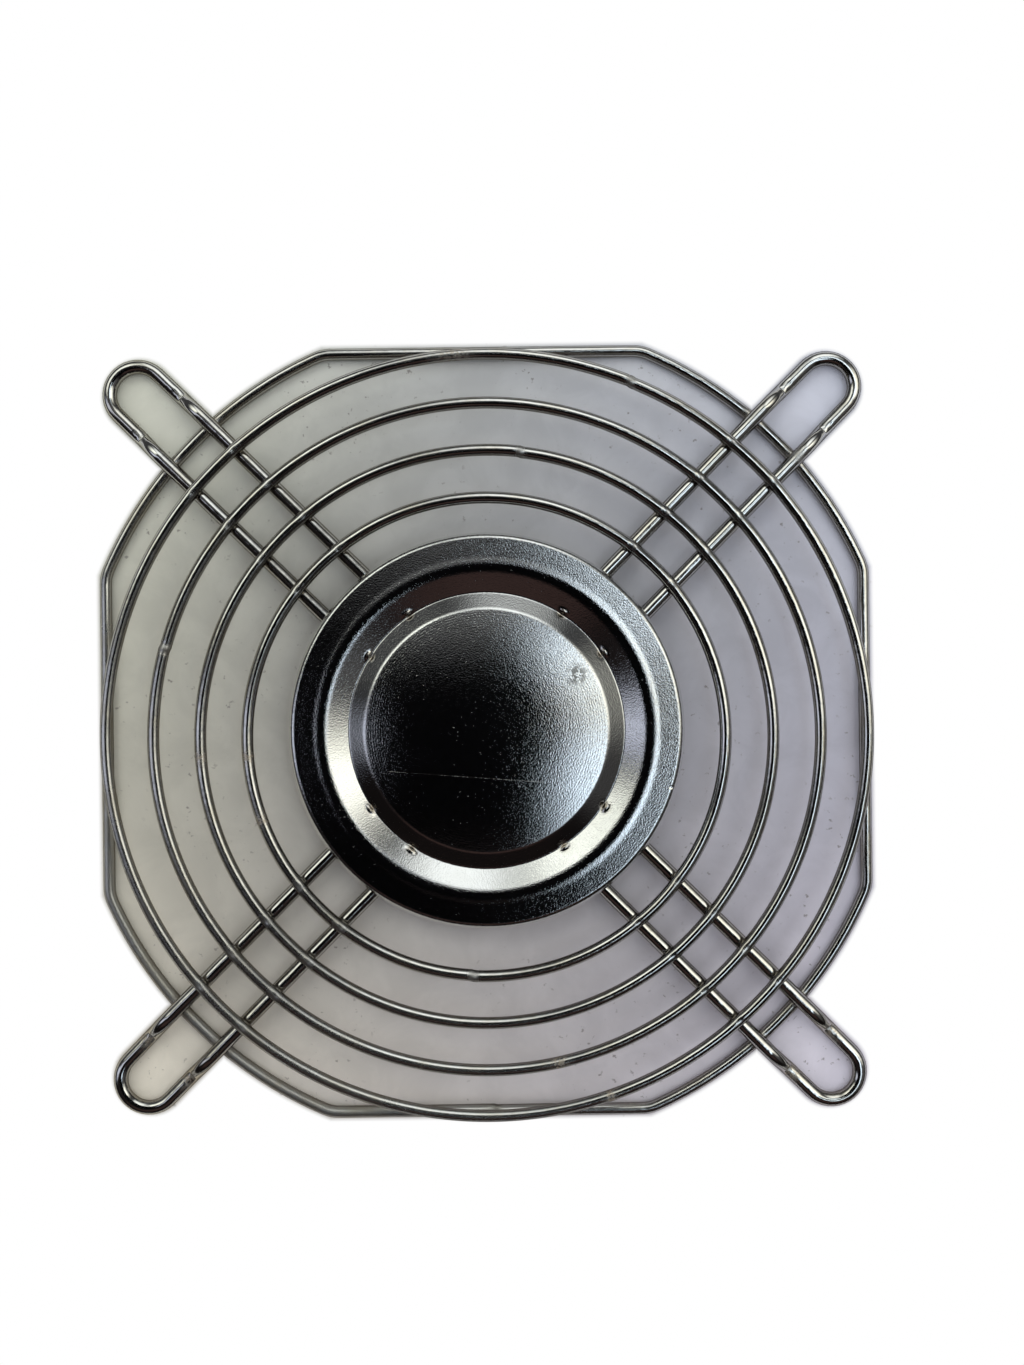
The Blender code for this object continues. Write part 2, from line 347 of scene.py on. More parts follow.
class Wire:
    """A round wire swept along a line, with its section shaped before it becomes a mesh.

    For each point of each section, across is its offset to the side (level, and outwards on
    a ring) and rise its offset upwards. Marks are strengths from 0 to 1 for the material.
    """

    def __init__(self, line, diameter, closed, sides, places, centre=(0.0, 0.0)):
        self.closed, self.sides = closed, sides
        self.path, self.length = resample(line, places, closed)
        self.path = self.path + np.array([centre[0], centre[1], 0.0])
        self.along = np.asarray(places)
        self.radius = diameter / 2
        ahead = np.roll(self.path, -1, 0) - np.roll(self.path, 1, 0)
        if not closed:
            ahead[0] = self.path[1] - self.path[0]
            ahead[-1] = self.path[-1] - self.path[-2]
        self.ahead = unit(ahead)
        self.side = unit(np.cross(self.ahead, UP))
        self.up = np.cross(self.side, self.ahead)
        self.angle = np.arange(sides) / sides * 2 * math.pi
        self.across = np.tile(self.radius * np.cos(self.angle), (len(self.path), 1))
        self.rise = np.tile(self.radius * np.sin(self.angle), (len(self.path), 1))
        self.marks = {kind: np.zeros(self.across.shape) for kind in ("stain", "grime", "scuff")}

    def gap(self, spot):
        """Signed distance along the wire from a spot to each row."""
        distance = self.along - spot
        if self.closed:
            distance = (distance + self.length / 2) % self.length - self.length / 2
        return distance

    def press(self, spot, depth, width, tilt, blend):
        """A flat left on top where an electrode pressed on the wire."""
        near = bump_curve(self.gap(spot), width, 4.0)[:, None]
        limit = self.radius * (1.0 + 2.0 * (1.0 - near)) - depth * near + tilt * self.across * near
        self.rise = soft_limit(self.rise, limit, blend)
        self.across = self.across * (1.0 + 0.35 * depth / self.radius * near)
        top = np.clip((self.rise - self.radius * 0.6) / self.radius * 4, 0, 1)
        self.marks["scuff"] += 0.3 * near * top

    def fuse(self, spot, depth, width, up=-1.0):
        """Metal drawn out towards the wire that this one is welded to."""
        near = bump_curve(self.gap(spot), width)[:, None]
        facing = np.clip(np.sin(self.angle) * up, 0.0, 1.0)[None, :] ** 1.5
        self.rise = self.rise + up * depth * near * facing
        self.across = self.across * (1.0 + 0.22 * near * facing ** 0.5)
        soot = bump_curve(self.gap(spot), width * 1.6)[:, None]
        self.marks["grime"] += soot * facing ** 0.3 * 0.9

    def shift(self, across, rise):
        """Moves the wire's centre line to the side and upwards."""
        sideways = self.side * np.reshape(across, (-1, 1))
        upwards = self.up * np.reshape(rise, (-1, 1))
        self.path = self.path + sideways + upwards

    def butt_weld(self, spot, seed):
        """The upset seam that closes a ring, a little out of line."""
        draw = np.random.default_rng(seed)
        gap = self.gap(spot)
        upset = SEAM_UPSET * bump_curve(gap, SEAM_WIDTH)
        neck_ahead = SEAM_NECKS[0] * bump_curve(gap - 2 * SEAM_WIDTH, SEAM_WIDTH)
        neck_behind = SEAM_NECKS[1] * bump_curve(gap + 2 * SEAM_WIDTH, SEAM_WIDTH)
        swell = upset - neck_ahead - neck_behind
        uneven = 1.0 + 0.5 * np.sin(self.angle * 2 + draw.uniform(0, 6))
        wave = 1.0 + swell[:, None] * uneven[None, :]
        self.across, self.rise = self.across * wave, self.rise * wave
        step = SEAM_STEP * np.tanh(gap / 0.2) * bump_curve(gap, 5.0)
        self.shift(across=step, rise=0.4 * step)
        self.marks["scuff"] += bump_curve(gap, 0.8)[:, None]
        self.marks["grime"] += 0.5 * bump_curve(gap - 0.4, 0.5)[:, None]

    def mark(self, kind, spot, width, strength):
        self.marks[kind] += strength * bump_curve(self.gap(spot), width)[:, None]

    def points(self):
        sideways = self.across[..., None] * self.side[:, None, :]
        upwards = self.rise[..., None] * self.up[:, None, :]
        return self.path[:, None, :] + (sideways + upwards)

    def build(self, name, material):
        grid = self.points()
        rows, sides = grid.shape[:2]
        vertices = grid.reshape(-1, 3)
        faces, uvs = [], []
        circle = 2 * math.pi * self.radius
        last = rows if self.closed else rows - 1
        for i in range(last):
            k = (i + 1) % rows
            u0 = self.along[i]
            u1 = self.along[k] if k else self.length
            for j in range(sides):
                m = (j + 1) % sides
                faces.append((i * sides + j, k * sides + j, k * sides + m, i * sides + m))
                v0, v1 = j / sides * circle, (j + 1) / sides * circle
                uvs += [(u0, v0), (u1, v0), (u1, v1), (u0, v1)]
        marks = {kind: np.clip(value, 0, 1).ravel() for kind, value in self.marks.items()}
        if not self.closed:
            vertices, marks = self.cap(vertices, faces, uvs, marks, rows)
        return make_object(name, vertices, faces, material, marks, np.array(uvs) / 10.0)

    def cap(self, vertices, faces, uvs, marks, rows):
        """Sheared wire ends with a small chamfer."""
        extra, sides = [], self.sides
        for row, sign in ((0, -1.0), (rows - 1, 1.0)):
            outline = row * sides + np.arange(sides)
            base = len(vertices) + len(extra)
            middle = vertices[outline].mean(0)
            end = middle + self.ahead[row] * sign * CUT_CHAMFER
            extra += list(end + (vertices[outline] - middle) * CUT_FACE) + [end]
            for j in range(sides):
                m = (j + 1) % sides
                a, b, c, d = outline[j], outline[m], base + m, base + j
                faces.append((a, b, c, d) if sign < 0 else (a, d, c, b))
                faces.append((c, base + sides, d) if sign < 0 else (d, base + sides, c))
                uvs += [(0.0, 0.0)] * 7
        vertices = np.concatenate([vertices, np.array(extra)])
        bare = np.full(len(extra), 0.3)
        marks = {kind: np.concatenate([value, bare]) for kind, value in marks.items()}
        return vertices, marks


# Materials


class Shader:
    """Short calls for building a material's or the world's nodes."""

    def __init__(self, tree):
        self.tree = tree

    def node(self, kind, **settings):
        node = self.tree.nodes.new(kind)
        for key, value in settings.items():
            setattr(node, key, value)
        return node

    def put(self, socket, value):
        if isinstance(value, bpy.types.NodeSocket):
            self.tree.links.new(value, socket)
        elif value is not None:
            socket.default_value = value

    def math(self, operation, a, b=None, c=None, clamp=False):
        node = self.node("ShaderNodeMath", operation=operation, use_clamp=clamp)
        for socket, value in zip(node.inputs, (a, b, c)):
            self.put(socket, value)
        return node.outputs[0]

    def vector(self, operation, a, b=None, scale=None):
        node = self.node("ShaderNodeVectorMath", operation=operation)
        self.put(node.inputs[0], a)
        self.put(node.inputs[1], b)
        if scale is not None:
            self.put(node.inputs["Scale"], scale)
        is_number = operation in ("DOT_PRODUCT", "LENGTH", "DISTANCE")
        return node.outputs["Value"] if is_number else node.outputs[0]

    def ramp(self, value, low, high, to_low=0.0, to_high=1.0, smooth=True):
        node = self.node("ShaderNodeMapRange", clamp=True)
        node.interpolation_type = "SMOOTHSTEP" if smooth else "LINEAR"
        for socket, item in zip(node.inputs, (value, low, high, to_low, to_high)):
            self.put(socket, item)
        return node.outputs[0]

    def mix(self, factor, a, b, blend="MIX"):
        node = self.node("ShaderNodeMix", data_type="RGBA", blend_type=blend)
        self.put(node.inputs[0], factor)
        self.put(node.inputs[6], a)
        self.put(node.inputs[7], b)
        return node.outputs[2]

    def noise(self, place, scale, detail=2.0, roughness=0.5, distortion=0.0):
        node = self.node("ShaderNodeTexNoise")
        self.put(node.inputs["Vector"], place)
        self.put(node.inputs["Scale"], scale)
        self.put(node.inputs["Detail"], detail)
        self.put(node.inputs["Roughness"], roughness)
        self.put(node.inputs["Distortion"], distortion)
        return node.outputs["Fac"]

    def bump(self, height, distance, strength=1.0, normal=None):
        node = self.node("ShaderNodeBump")
        self.put(node.inputs["Strength"], strength)
        self.put(node.inputs["Distance"], distance)
        self.put(node.inputs["Height"], height)
        if normal is not None:
            self.put(node.inputs["Normal"], normal)
        return node.outputs["Normal"]

    def off_line(self, place, start, end):
        """Distance from a place to the straight line between two points."""
        way = [b - a for a, b in zip(start, end)]
        away = self.vector("SUBTRACT", place, start)
        ahead = self.vector("DOT_PRODUCT", away, way)
        share = self.math("DIVIDE", ahead, sum(w * w for w in way), clamp=True)
        return self.vector("DISTANCE", away, self.vector("SCALE", way, scale=share))

    def attribute(self, name):
        return self.node("ShaderNodeAttribute", attribute_name=name).outputs["Fac"]

    def position(self):
        """Place in the object's own frame, in mm."""
        node = self.node("ShaderNodeTexCoord")
        return self.vector("SCALE", node.outputs["Object"], scale=1000.0)


def new_material(name):
    material = bpy.data.materials.new(name)
    material.use_nodes = True
    return material, Shader(material.node_tree), material.node_tree.nodes["Principled BSDF"]


def wire_material(name, colour, roughness, dull):
    """Bright nickel plate over drawn wire, with stains, weld grime, faint draw lines, and tarnish
    with painted shade down its sides.
    """
    material, s, shader = new_material(name)
    place = s.position()
    uv = s.node("ShaderNodeUVMap", uv_map="along_wire").outputs[0]
    stretch = s.node("ShaderNodeMapping")
    s.put(stretch.inputs["Vector"], uv)
    stretch.inputs["Scale"].default_value = (2.2, 34.0, 1.0)
    lines = s.noise(stretch.outputs[0], 1.0, 3.0, 0.6)
    cloud = s.noise(place, 0.16, 4.0, 0.6)
    fine = s.noise(place, 1.7, 4.0, 0.65)
    stain = s.math("MULTIPLY", s.attribute("stain"), s.ramp(fine, 0.36, 0.6), clamp=True)
    grime = s.math("MULTIPLY", s.attribute("grime"), s.ramp(fine, 0.3, 0.62, 0.35, 1.0), clamp=True)
    scuff = s.attribute("scuff")
    aged = tuple(c * share for c, share in zip(colour, AGED_SHARE))
    base = s.mix(s.ramp(cloud, 0.42, 0.66), (*colour, 1.0), (*aged, 1.0))
    base = s.mix(s.math("MULTIPLY", stain, 0.85), base, WIRE_RUST)
    base = s.mix(s.math("MULTIPLY", grime, 0.7), base, WIRE_GRIME)
    # painted shade and tarnish: the colour darkens down the wire's sides as they turn to face the
    # table
    facing = s.node("ShaderNodeSeparateXYZ")
    s.put(facing.inputs[0], s.node("ShaderNodeNewGeometry").outputs["Normal"])
    tarnish_and_side_shade = s.mix(s.ramp(facing.outputs[2], 0.34, 0.74), TARNISH_AND_SIDE_SHADE, WHITE)
    base = s.mix(1.0, base, tarnish_and_side_shade, "MULTIPLY")
    s.put(shader.inputs["Base Color"], base)
    shader.inputs["Specular Tint"].default_value = WIRE_EDGE_TINT
    s.put(shader.inputs["Metallic"], s.math("SUBTRACT", 1.0, s.math("MULTIPLY", stain, 0.45)))
    rough = s.ramp(cloud, 0.35, 0.7, roughness * 0.8, roughness * 1.3)
    rough = s.math("ADD", rough, s.math("MULTIPLY", stain, 0.25))
    rough = s.math("ADD", rough, s.math("MULTIPLY", grime, 0.2))
    rough = s.math("ADD", rough, s.math("MULTIPLY", scuff, 0.28))
    # the plate has gone dull on the lower left of the guard
    corner = s.vector("DOT_PRODUCT", place, SOUTH_WEST)
    rough = s.math("ADD", rough, s.ramp(corner, 5.0, 58.0, 0.0, dull), clamp=True)
    s.put(shader.inputs["Roughness"], rough)
    peel = s.noise(place, 1.1, 2.0, 0.5)
    relief = s.bump(lines, DRAW_LINE_DEPTH * MM, 0.6)
    relief = s.bump(peel, PEEL_DEPTH * MM, 0.7, relief)
    dents = s.noise(place, 0.45, 1.0, 0.5)
    relief = s.bump(dents, DENT_DEPTH * MM, 0.8, relief)
    s.put(shader.inputs["Normal"], relief)
    return material


def medallion_material():
    """Pressed and plated sheet: a pebbled plate with spin lines, a scratch, a pit and a smudge."""
    material, s, shader = new_material("medallion_plate")
    place = s.position()
    flat = s.vector("MULTIPLY", place, (1.0, 1.0, 0.0))
    centred = s.vector("SUBTRACT", flat, (MEDALLION_CENTRE[0], MEDALLION_CENTRE[1], 0.0))
    radius = s.vector("LENGTH", centred)
    cloud = s.noise(place, 0.12, 3.0, 0.6)
    base = s.mix(s.ramp(cloud, 0.4, 0.7), SHEET_PLATE, SHEET_AGED)
    grime = s.attribute("grime")
    stain = s.attribute("stain")
    base = s.mix(s.math("MULTIPLY", grime, 0.8, clamp=True), base, SHEET_GRIME)
    base = s.mix(s.math("MULTIPLY", stain, 0.7, clamp=True), base, SHEET_RUST)
    # a thumb smudge near the plate's upper right edge
    smear = s.ramp(s.vector("DISTANCE", centred, SMUDGE_PLACE), 0.6, 2.2, 1.0, 0.0)
    smear = s.math("MULTIPLY", smear, s.ramp(s.noise(place, 1.3, 3.0, 0.6), 0.42, 0.52))
    base = s.mix(s.math("MULTIPLY", smear, 0.75), base, SMUDGE)
    s.put(shader.inputs["Base Color"], base)
    shader.inputs["Metallic"].default_value = 1.0
    pebble = s.noise(place, 4.2, 2.0, 0.55)
    grit = s.noise(place, 8.5, 1.0, 0.5)
    wave = s.noise(place, 0.3, 1.0, 0.5)
    relief = s.bump(wave, WAVE_DEPTH * MM, 0.8)
    relief = s.bump(pebble, PEBBLE_DEPTH * MM, 1.0, relief)
    relief = s.bump(grit, GRIT_DEPTH * MM, 1.0, relief)
    # a few larger pits
    pitting = s.ramp(s.noise(place, 3.1, 2.0, 0.6), 0.72, 0.80)
    relief = s.bump(pitting, -PITTING_DEPTH * MM, 1.0, relief)
    # spin lines near the plate's edge
    rings = s.math("SINE", s.math("MULTIPLY", radius, SPIN_LINE_RATE))
    near_edge = s.math("MULTIPLY", s.ramp(radius, 13.5, 16.5), s.ramp(radius, 18.3, 17.6))
    relief = s.bump(s.math("MULTIPLY", rings, near_edge), SPIN_LINE_DEPTH * MM, 1.0, relief)
    # one long scratch across the plate and one deeper pit in the outer band
    scratch = s.ramp(s.off_line(centred, *SCRATCH), 0.0, 0.05, 1.0, 0.0)
    uneven = s.ramp(s.noise(place, 0.9, 2.0, 0.6), 0.3, 0.6, 0.65, 1.0)
    scratch = s.math("MULTIPLY", scratch, uneven)
    pit = s.ramp(s.vector("DISTANCE", centred, PIT_PLACE), 0.15, 0.4, 1.0, 0.0)
    damage = s.math("ADD", scratch, s.math("MULTIPLY", pit, 5.0))
    relief = s.bump(damage, -SCRATCH_DEPTH * MM, 1.0, relief)
    s.put(shader.inputs["Normal"], relief)
    rough = s.ramp(cloud, 0.3, 0.7, 0.03, 0.06)
    rough = s.math("ADD", rough, s.math("MULTIPLY", smear, 0.22))
    rough = s.math("ADD", rough, s.math("MULTIPLY", stain, 0.12))
    rough = s.math("ADD", rough, s.math("MULTIPLY", grime, 0.25), clamp=True)
    s.put(shader.inputs["Roughness"], rough)
    return material


# Pieces of the guard


def front_ring(index, name):
    """One of the four rings on top of the legs, pressed and welded at each crossing."""
    radius, centre, seam = RINGS[name]
    crossings = [math.radians(a) * radius for a in leg_crossings(radius, centre)]
    seam_at = math.radians(seam) * radius
    length = 2 * math.pi * radius
    places = spaced(0.0, length, 1.0, crossings + [seam_at])[:-1]
    turn = np.linspace(0, 2 * math.pi, 1441)[:-1]
    level = np.full(len(turn), RING_HEIGHT)
    line = np.stack([radius * np.cos(turn), radius * np.sin(turn), level], 1)
    ring = Wire(line, RING_WIRE, True, RING_SIDES, places, centre)
    draw = np.random.default_rng(RING_SEED + index)
    for spot in crossings:
        near = bump_curve(ring.gap(spot), 1.8)
        ring.shift(across=near * draw.uniform(-0.05, 0.05), rise=-near * draw.uniform(0.01, 0.05))
        press_at = spot + draw.uniform(-0.3, 0.3)
        depth = draw.uniform(0.01, 0.05)
        tilt = draw.uniform(-0.08, 0.08)
        ring.press(press_at, depth, ELECTRODE_WIDTH, tilt, blend=0.06)
        ring.fuse(spot, *RING_WELD)
    ring.butt_weld(seam_at, RING_SEAM_SEED + index)
    for stained, angle, width, strength in RING_STAINS:
        if stained == name:
            ring.mark("stain", math.radians(angle) * radius, width, strength)
    return ring


def frame_ring():
    """The flat-sided ring under the legs."""
    line = frame_ring_line(0.15)
    line[:, 2] += FRAME_HEIGHT
    along = distances(np.concatenate([line, line[:1]]))
    length = along[-1]
    headings = np.degrees(np.arctan2(line[:, 1], line[:, 0])) % 360

    def place_of(degrees):
        return along[int(np.argmin(np.abs((headings - degrees + 180) % 360 - 180)))]

    crossings = [place_of(a) for a in leg_crossings(FRAME_RADIUS, (0.0, 0.0))]
    seam_at = place_of(FRAME_SEAM)
    bends = [place_of(lean + 90 * quarter) for quarter in range(4) for lean in FRAME_BEND_HEADINGS]
    places = spaced(0.0, length, 1.0, crossings + bends + [seam_at])[:-1]
    ring = Wire(line, RING_WIRE, True, RING_SIDES, places)
    for spot in crossings:
        ring.fuse(spot, *FRAME_WELD, up=1.0)
        ring.mark("stain", spot, 1.6, 0.35)
    ring.butt_weld(seam_at, FRAME_SEAM_SEED)
    # what the weld pushed below the table goes back up
    ring.rise = ring.rise + np.clip(-ring.points()[..., 2], 0.0, None)
    return ring


def corner_loop(index, name):
    """A looped leg, shaped along +X and then turned to its heading."""
    line = leg_line()
    along = distances(line)
    length = along[-1]
    crossing_x = math.sqrt(FRAME_RADIUS ** 2 - LEG_HALF_SPACING ** 2)
    first = crossing_x - LEG_INNER_END
    outward = len(line) // 2
    foot = float(np.interp(STEP_FOOT, line[:outward, 0], along[:outward]))
    spots = [first, length - first]
    for lean in (-1.2, 1.2):
        spots += [foot + lean, length - foot - lean]
    places = spaced(0.0, length, 0.7, spots, reach=2.2, fine=0.11)
    heading = LEGS[name]
    wire = Wire(line, LEG_WIRE, False, LEG_SIDES, places)
    inward = np.clip((STEP_FOOT - wire.path[:, 0]) / (STEP_FOOT - LEG_INNER_END), 0.0, 1.0)
    wire.path[:, 1] += LEG_STRAY[name] * inward
    draw = np.random.default_rng(LOOP_SEED + index)
    punch_mark(wire, draw)
    for spot in (first, length - first):
        wire.mark("grime", spot, 1.4, 0.35)
    if name in RUSTY_LOOPS:
        for spot in (foot + 0.8, length - foot - 0.8):
            wire.mark("stain", spot, 1.5, 0.55)
    if name == "corner_loop_ne":
        wire.mark("scuff", length - first - 0.3, 1.0, 0.9)
    wire.path = turned(wire.path, heading)
    wire.side = turned(wire.side, heading)
    wire.up = turned(wire.up, heading)
    wire.ahead = turned(wire.ahead, heading)
    return wire


def punch_mark(wire, draw):
    """The flat facet that the bending punch left on top of the wire at the foot of the step."""
    grid = wire.points()
    x, z = grid[..., 0], grid[..., 2]
    edge = STEP_FOOT + 0.05
    facet = 1.6
    past_edge = 0.5 + 0.5 * np.tanh((x - edge) / 0.06)
    short_of_end = 0.5 - 0.5 * np.tanh((x - edge - facet) / 0.30)
    inside = past_edge * short_of_end
    slope = draw.uniform(0.03, 0.07)
    limit = LOOP_HEIGHT + LEG_WIRE / 2 + 0.02 - slope * (x - edge)
    over = np.clip(z - soft_limit(z, limit, 0.01), 0.0, None) * inside
    wire.rise = wire.rise - over / np.maximum(wire.up[:, None, 2], 0.5)
    wire.marks["scuff"] += np.clip(over * 8, 0, 1)


def dome_points():
    """Top of the domed centre plate as (radius, height) in mm, from the centre out."""
    sphere = (PLATE_EDGE ** 2 + DOME_RISE ** 2) / (2 * DOME_RISE)
    radii = np.linspace(0.0, PLATE_EDGE, 28)
    return [(r, PLATE_HEIGHT + DOME_RISE - sphere + math.sqrt(sphere ** 2 - r ** 2)) for r in radii]


def rounded(points, radii, count=8):
    """A line through points in the (radius, height) plane with each inner corner rounded."""
    line = [np.array(points[0], float)]
    for index in range(1, len(points) - 1):
        three = points[index - 1:index + 2]
        before, corner, after = (np.array([r, 0.0, height], float) for r, height in three)
        bent = fillet(before, corner, after, radii[index - 1], count)
        line += [np.array([p[0], p[2]]) for p in bent]
    line.append(np.array(points[-1], float))
    return line


def medallion():
    """The pressed disc: domed plate, weld groove, crowned outer band and turned-down rim."""
    dome = dome_points()
    outer = [dome[-1], GROOVE, CREST_INSIDE, CREST_OUTSIDE, SHOULDER, RIM]
    bent = rounded([dome[-2]] + outer, MEDALLION_BENDS)
    top = [np.array(p) for p in dome[:-1]] + bent[1:]
    top = densify(top, 0.22)
    slope = np.gradient(top, axis=0)
    normal = unit(np.stack([-slope[:, 1], slope[:, 0]], 1))
    below = top - normal * SHEET
    below[:, 0] = np.maximum(below[:, 0], 0.0)
    below[0] = top[0] - np.array([0.0, SHEET])
    # the rim's cut edge, rounded over
    edge = []
    for step in range(1, 6):
        a = math.pi * step / 6
        middle = (top[-1] + below[-1]) / 2
        half = (top[-1] - below[-1]) / 2
        forward = np.array([half[1], -half[0]])
        edge.append(middle + half * math.cos(a) + forward * math.sin(a) * 0.6)
    return np.concatenate([top, np.array(edge), below[:0:-3], below[:1]])


def densify(line, step):
    """The same line with a point at each step, and more of them where it bends."""
    line = np.asarray(line)
    along = distances(line)
    slope = np.gradient(line, axis=0)
    curve = np.abs(np.gradient(np.unwrap(np.arctan2(slope[:, 1], slope[:, 0]))))
    places = [0.0]
    while places[-1] < along[-1]:
        local = float(np.interp(places[-1], along, curve))
        places.append(places[-1] + max(0.05, step / (1.0 + 25.0 * local)))
    places = np.array(places[:-1] + [along[-1]])
    return np.stack([np.interp(places, along, line[:, axis]) for axis in range(2)], 1)


def add_medallion():
    """The medallion's section turned round its axis, with the weld nicks in its groove."""
    section = medallion()
    leans = [leg + side * NICK_LEAN for leg in LEGS.values() for side in (-1.0, 1.0)]
    nicks = [math.radians(lean % 360.0) for lean in leans]
    circle = 2 * math.pi
    heading = spaced(0.0, circle, circle / MEDALLION_TURNS, nicks, reach=0.06, fine=0.008)[:-1]
    turns = len(heading)
    ring_rows = section[1:-1]
    radius = ring_rows[:, 0][:, None] * np.ones(turns)
    height = ring_rows[:, 1][:, None] * np.ones(turns)
    x, y = radius * np.cos(heading), radius * np.sin(heading)
    grime, stain = np.zeros(x.shape), np.zeros(x.shape)
    draw = np.random.default_rng(NICK_SEED)
    for angle in nicks:
        nick_at = NICK_RADIUS + draw.uniform(-0.15, 0.15)
        out = radius * np.cos(heading - angle) - nick_at
        round_way = radius * np.sin(heading - angle)
        height += NICK_BURR * bump_curve(out - 0.2, 0.32) * bump_curve(round_way, 0.6)
        height -= NICK_DEPTH * bump_curve(out + 0.4, 0.36) * bump_curve(round_way, 0.6)
        stain += 0.7 * bump_curve(np.hypot(out, round_way), 0.75)
        grime += 0.4 * bump_curve(np.hypot(out + 0.35, round_way), 0.4)
    vertices = np.concatenate([
        np.array([[0.0, 0.0, section[0][1]]]),
        np.stack([x, y, height], -1).reshape(-1, 3),
        np.array([[0.0, 0.0, section[-1][1]]]),
    ])
    rows = len(ring_rows)
    last_row, last = 1 + (rows - 1) * turns, 1 + rows * turns
    faces = []
    for j in range(turns):
        m = (j + 1) % turns
        faces.append((0, 1 + j, 1 + m))
        for row in range(1, last_row, turns):
            faces.append((row + j, row + turns + j, row + turns + m, row + m))
        faces.append((last, last_row + m, last_row + j))
    vertices[:, 0] += MEDALLION_CENTRE[0]
    vertices[:, 1] += MEDALLION_CENTRE[1]
    marks = {}
    for kind, value in (("grime", grime), ("stain", stain)):
        marks[kind] = np.concatenate([[0.0], np.clip(value, 0, 1).ravel(), [0.0]])
    return make_object("pressed_medallion", vertices, faces, medallion_material(), marks)


# Studio


def add_camera():
    camera = bpy.data.objects.new("camera", bpy.data.cameras.new("camera"))
    camera.data.sensor_fit = "HORIZONTAL"
    camera.data.sensor_width = CAMERA_SENSOR
    camera.data.lens = CAMERA_LENS
    camera.data.clip_start = 0.01
    camera.location = [place * MM for place in CAMERA_PLACE]
    camera.rotation_euler = (0.0, 0.0, math.radians(CAMERA_TURN))
    bpy.context.collection.objects.link(camera)
    bpy.context.scene.camera = camera


# Soft windows round the studio. Each has the two azimuths and the two polar angles, from
# straight up, that it lies between, the softness of its edges, all in degrees, its power
# and its colour.
WINDOWS = (
    (-2.3, 33.9, 17.9, 53.4, 12.6, 1.62, (1.00, 1.00, 0.90)),
    (58.6, 97.4, 26.0, 60.3, 10.0, 1.28, (0.96, 1.00, 0.99)),
    (113.8, 160.7, 30.0, 52.5, 8.0, 1.30, (0.97, 1.00, 0.91)),
    (97.9, 115.0, 28.6, 53.0, 7.9, 0.41, (0.96, 1.00, 0.96)),
    (294.4, 351.5, 16.4, 26.8, 4.6, 1.60, (0.84, 1.00, 1.16)),
    (174.0, 193.0, 15.3, 63.2, 7.0, 0.70, (0.94, 1.00, 1.20)),
    (70.0, 140.0, 8.0, 21.0, 7.0, 0.10, (0.98, 1.00, 1.02)),
    (100.0, 130.0, 26.0, 38.0, 5.0, 0.45, (0.96, 1.00, 0.98)),
    (-38.0, 8.0, 17.2, 22.0, 3.4, 0.75, (0.90, 1.00, 1.10)),
    (228.0, 300.0, 36.0, 56.0, 8.0, 0.030, (1.00, 0.52, 0.44)),
    (21.7, 59.2, 0.7, 18.8, 7.1, 2.15, (0.86, 1.00, 1.13)),
    (320.5, 369.2, 24.9, 70.5, 9.0, 0.06, (1.00, 1.00, 1.00)),
)


def add_world():
    """The photo's room: dark walls, a dark zenith where the camera was, and soft windows."""
    world = bpy.data.worlds.new("studio")
    bpy.context.scene.world = world
    world.use_nodes = True
    s = Shader(world.node_tree)
    background = world.node_tree.nodes["Background"]
    coordinate = s.node("ShaderNodeTexCoord")
    way = s.vector("NORMALIZE", coordinate.outputs["Generated"])
    split = s.node("ShaderNodeSeparateXYZ")
    s.put(split.inputs[0], way)
    height = split.outputs[2]
    polar = s.math("DEGREES", s.math("ARCCOSINE", height))
    azimuth = s.math("DEGREES", s.math("ARCTAN2", split.outputs[1], split.outputs[0]))
    north = s.ramp(split.outputs[1], -0.25, 0.5)
    wall = s.mix(s.ramp(polar, 52.0, 66.0), WALL_HIGH, WALL_LOW)
    base = s.mix(north, wall, WALL_NORTH)
    zenith = s.ramp(polar, 13.5, 21.0)
    total = s.mix(zenith, ZENITH, base)
    for start, end, top, bottom, soft, power, colour in WINDOWS:
        middle, half = (start + end) / 2, (end - start) / 2
        turn = s.math("WRAP", s.math("SUBTRACT", azimuth, middle), 180.0, -180.0)
        side = s.ramp(s.math("ABSOLUTE", turn), half + soft, half - soft)
        upper = s.ramp(polar, top - soft * 0.6, top + soft * 0.6)
        lower = s.ramp(polar, bottom + soft * 1.6, bottom - soft * 1.6)
        spread = s.math("MULTIPLY", side, upper)
        glow = s.math("MULTIPLY", spread, s.math("MULTIPLY", lower, power))
        total = s.vector("ADD", total, s.vector("SCALE", colour, scale=glow))
    horizon = s.ramp(polar, 84.0, 90.0)
    total = s.mix(horizon, total, HORIZON)
    s.put(background.inputs["Color"], total)
    background.inputs["Strength"].default_value = 1.0


def add_fill():
    """A broad soft lamp to the north that brings the table to a plain level."""
    lamp = bpy.data.lights.new("soft_fill", "SUN")
    lamp.energy = FILL_POWER
    lamp.angle = math.radians(FILL_SPREAD)
    fill = bpy.data.objects.new("soft_fill", lamp)
    fill.rotation_euler = (math.radians(FILL_TILT), 0.0, math.radians(FILL_HEADING))
    fill.visible_glossy = False
    bpy.context.collection.objects.link(fill)


def add_lens_card():
    """The dark back of the camera, which only the bright metal reflects."""
    material, _, shader = new_material("dark_card")
    shader.inputs["Base Color"].default_value = CARD_COLOUR
    shader.inputs["Specular IOR Level"].default_value = 0.0
    mesh = bpy.data.meshes.new("lens_card")
    mesh.from_pydata([(x * MM, y * MM, 0.0) for x, y in CARD_CORNERS], [], [(0, 1, 2, 3, 4)])
    mesh.materials.append(material)
    card = bpy.data.objects.new("lens_card", mesh)
    card.location.z = CARD_HEIGHT * MM
    card.visible_camera = False
    card.visible_diffuse = False
    card.visible_transmission = False
    card.visible_shadow = False
    bpy.context.collection.objects.link(card)


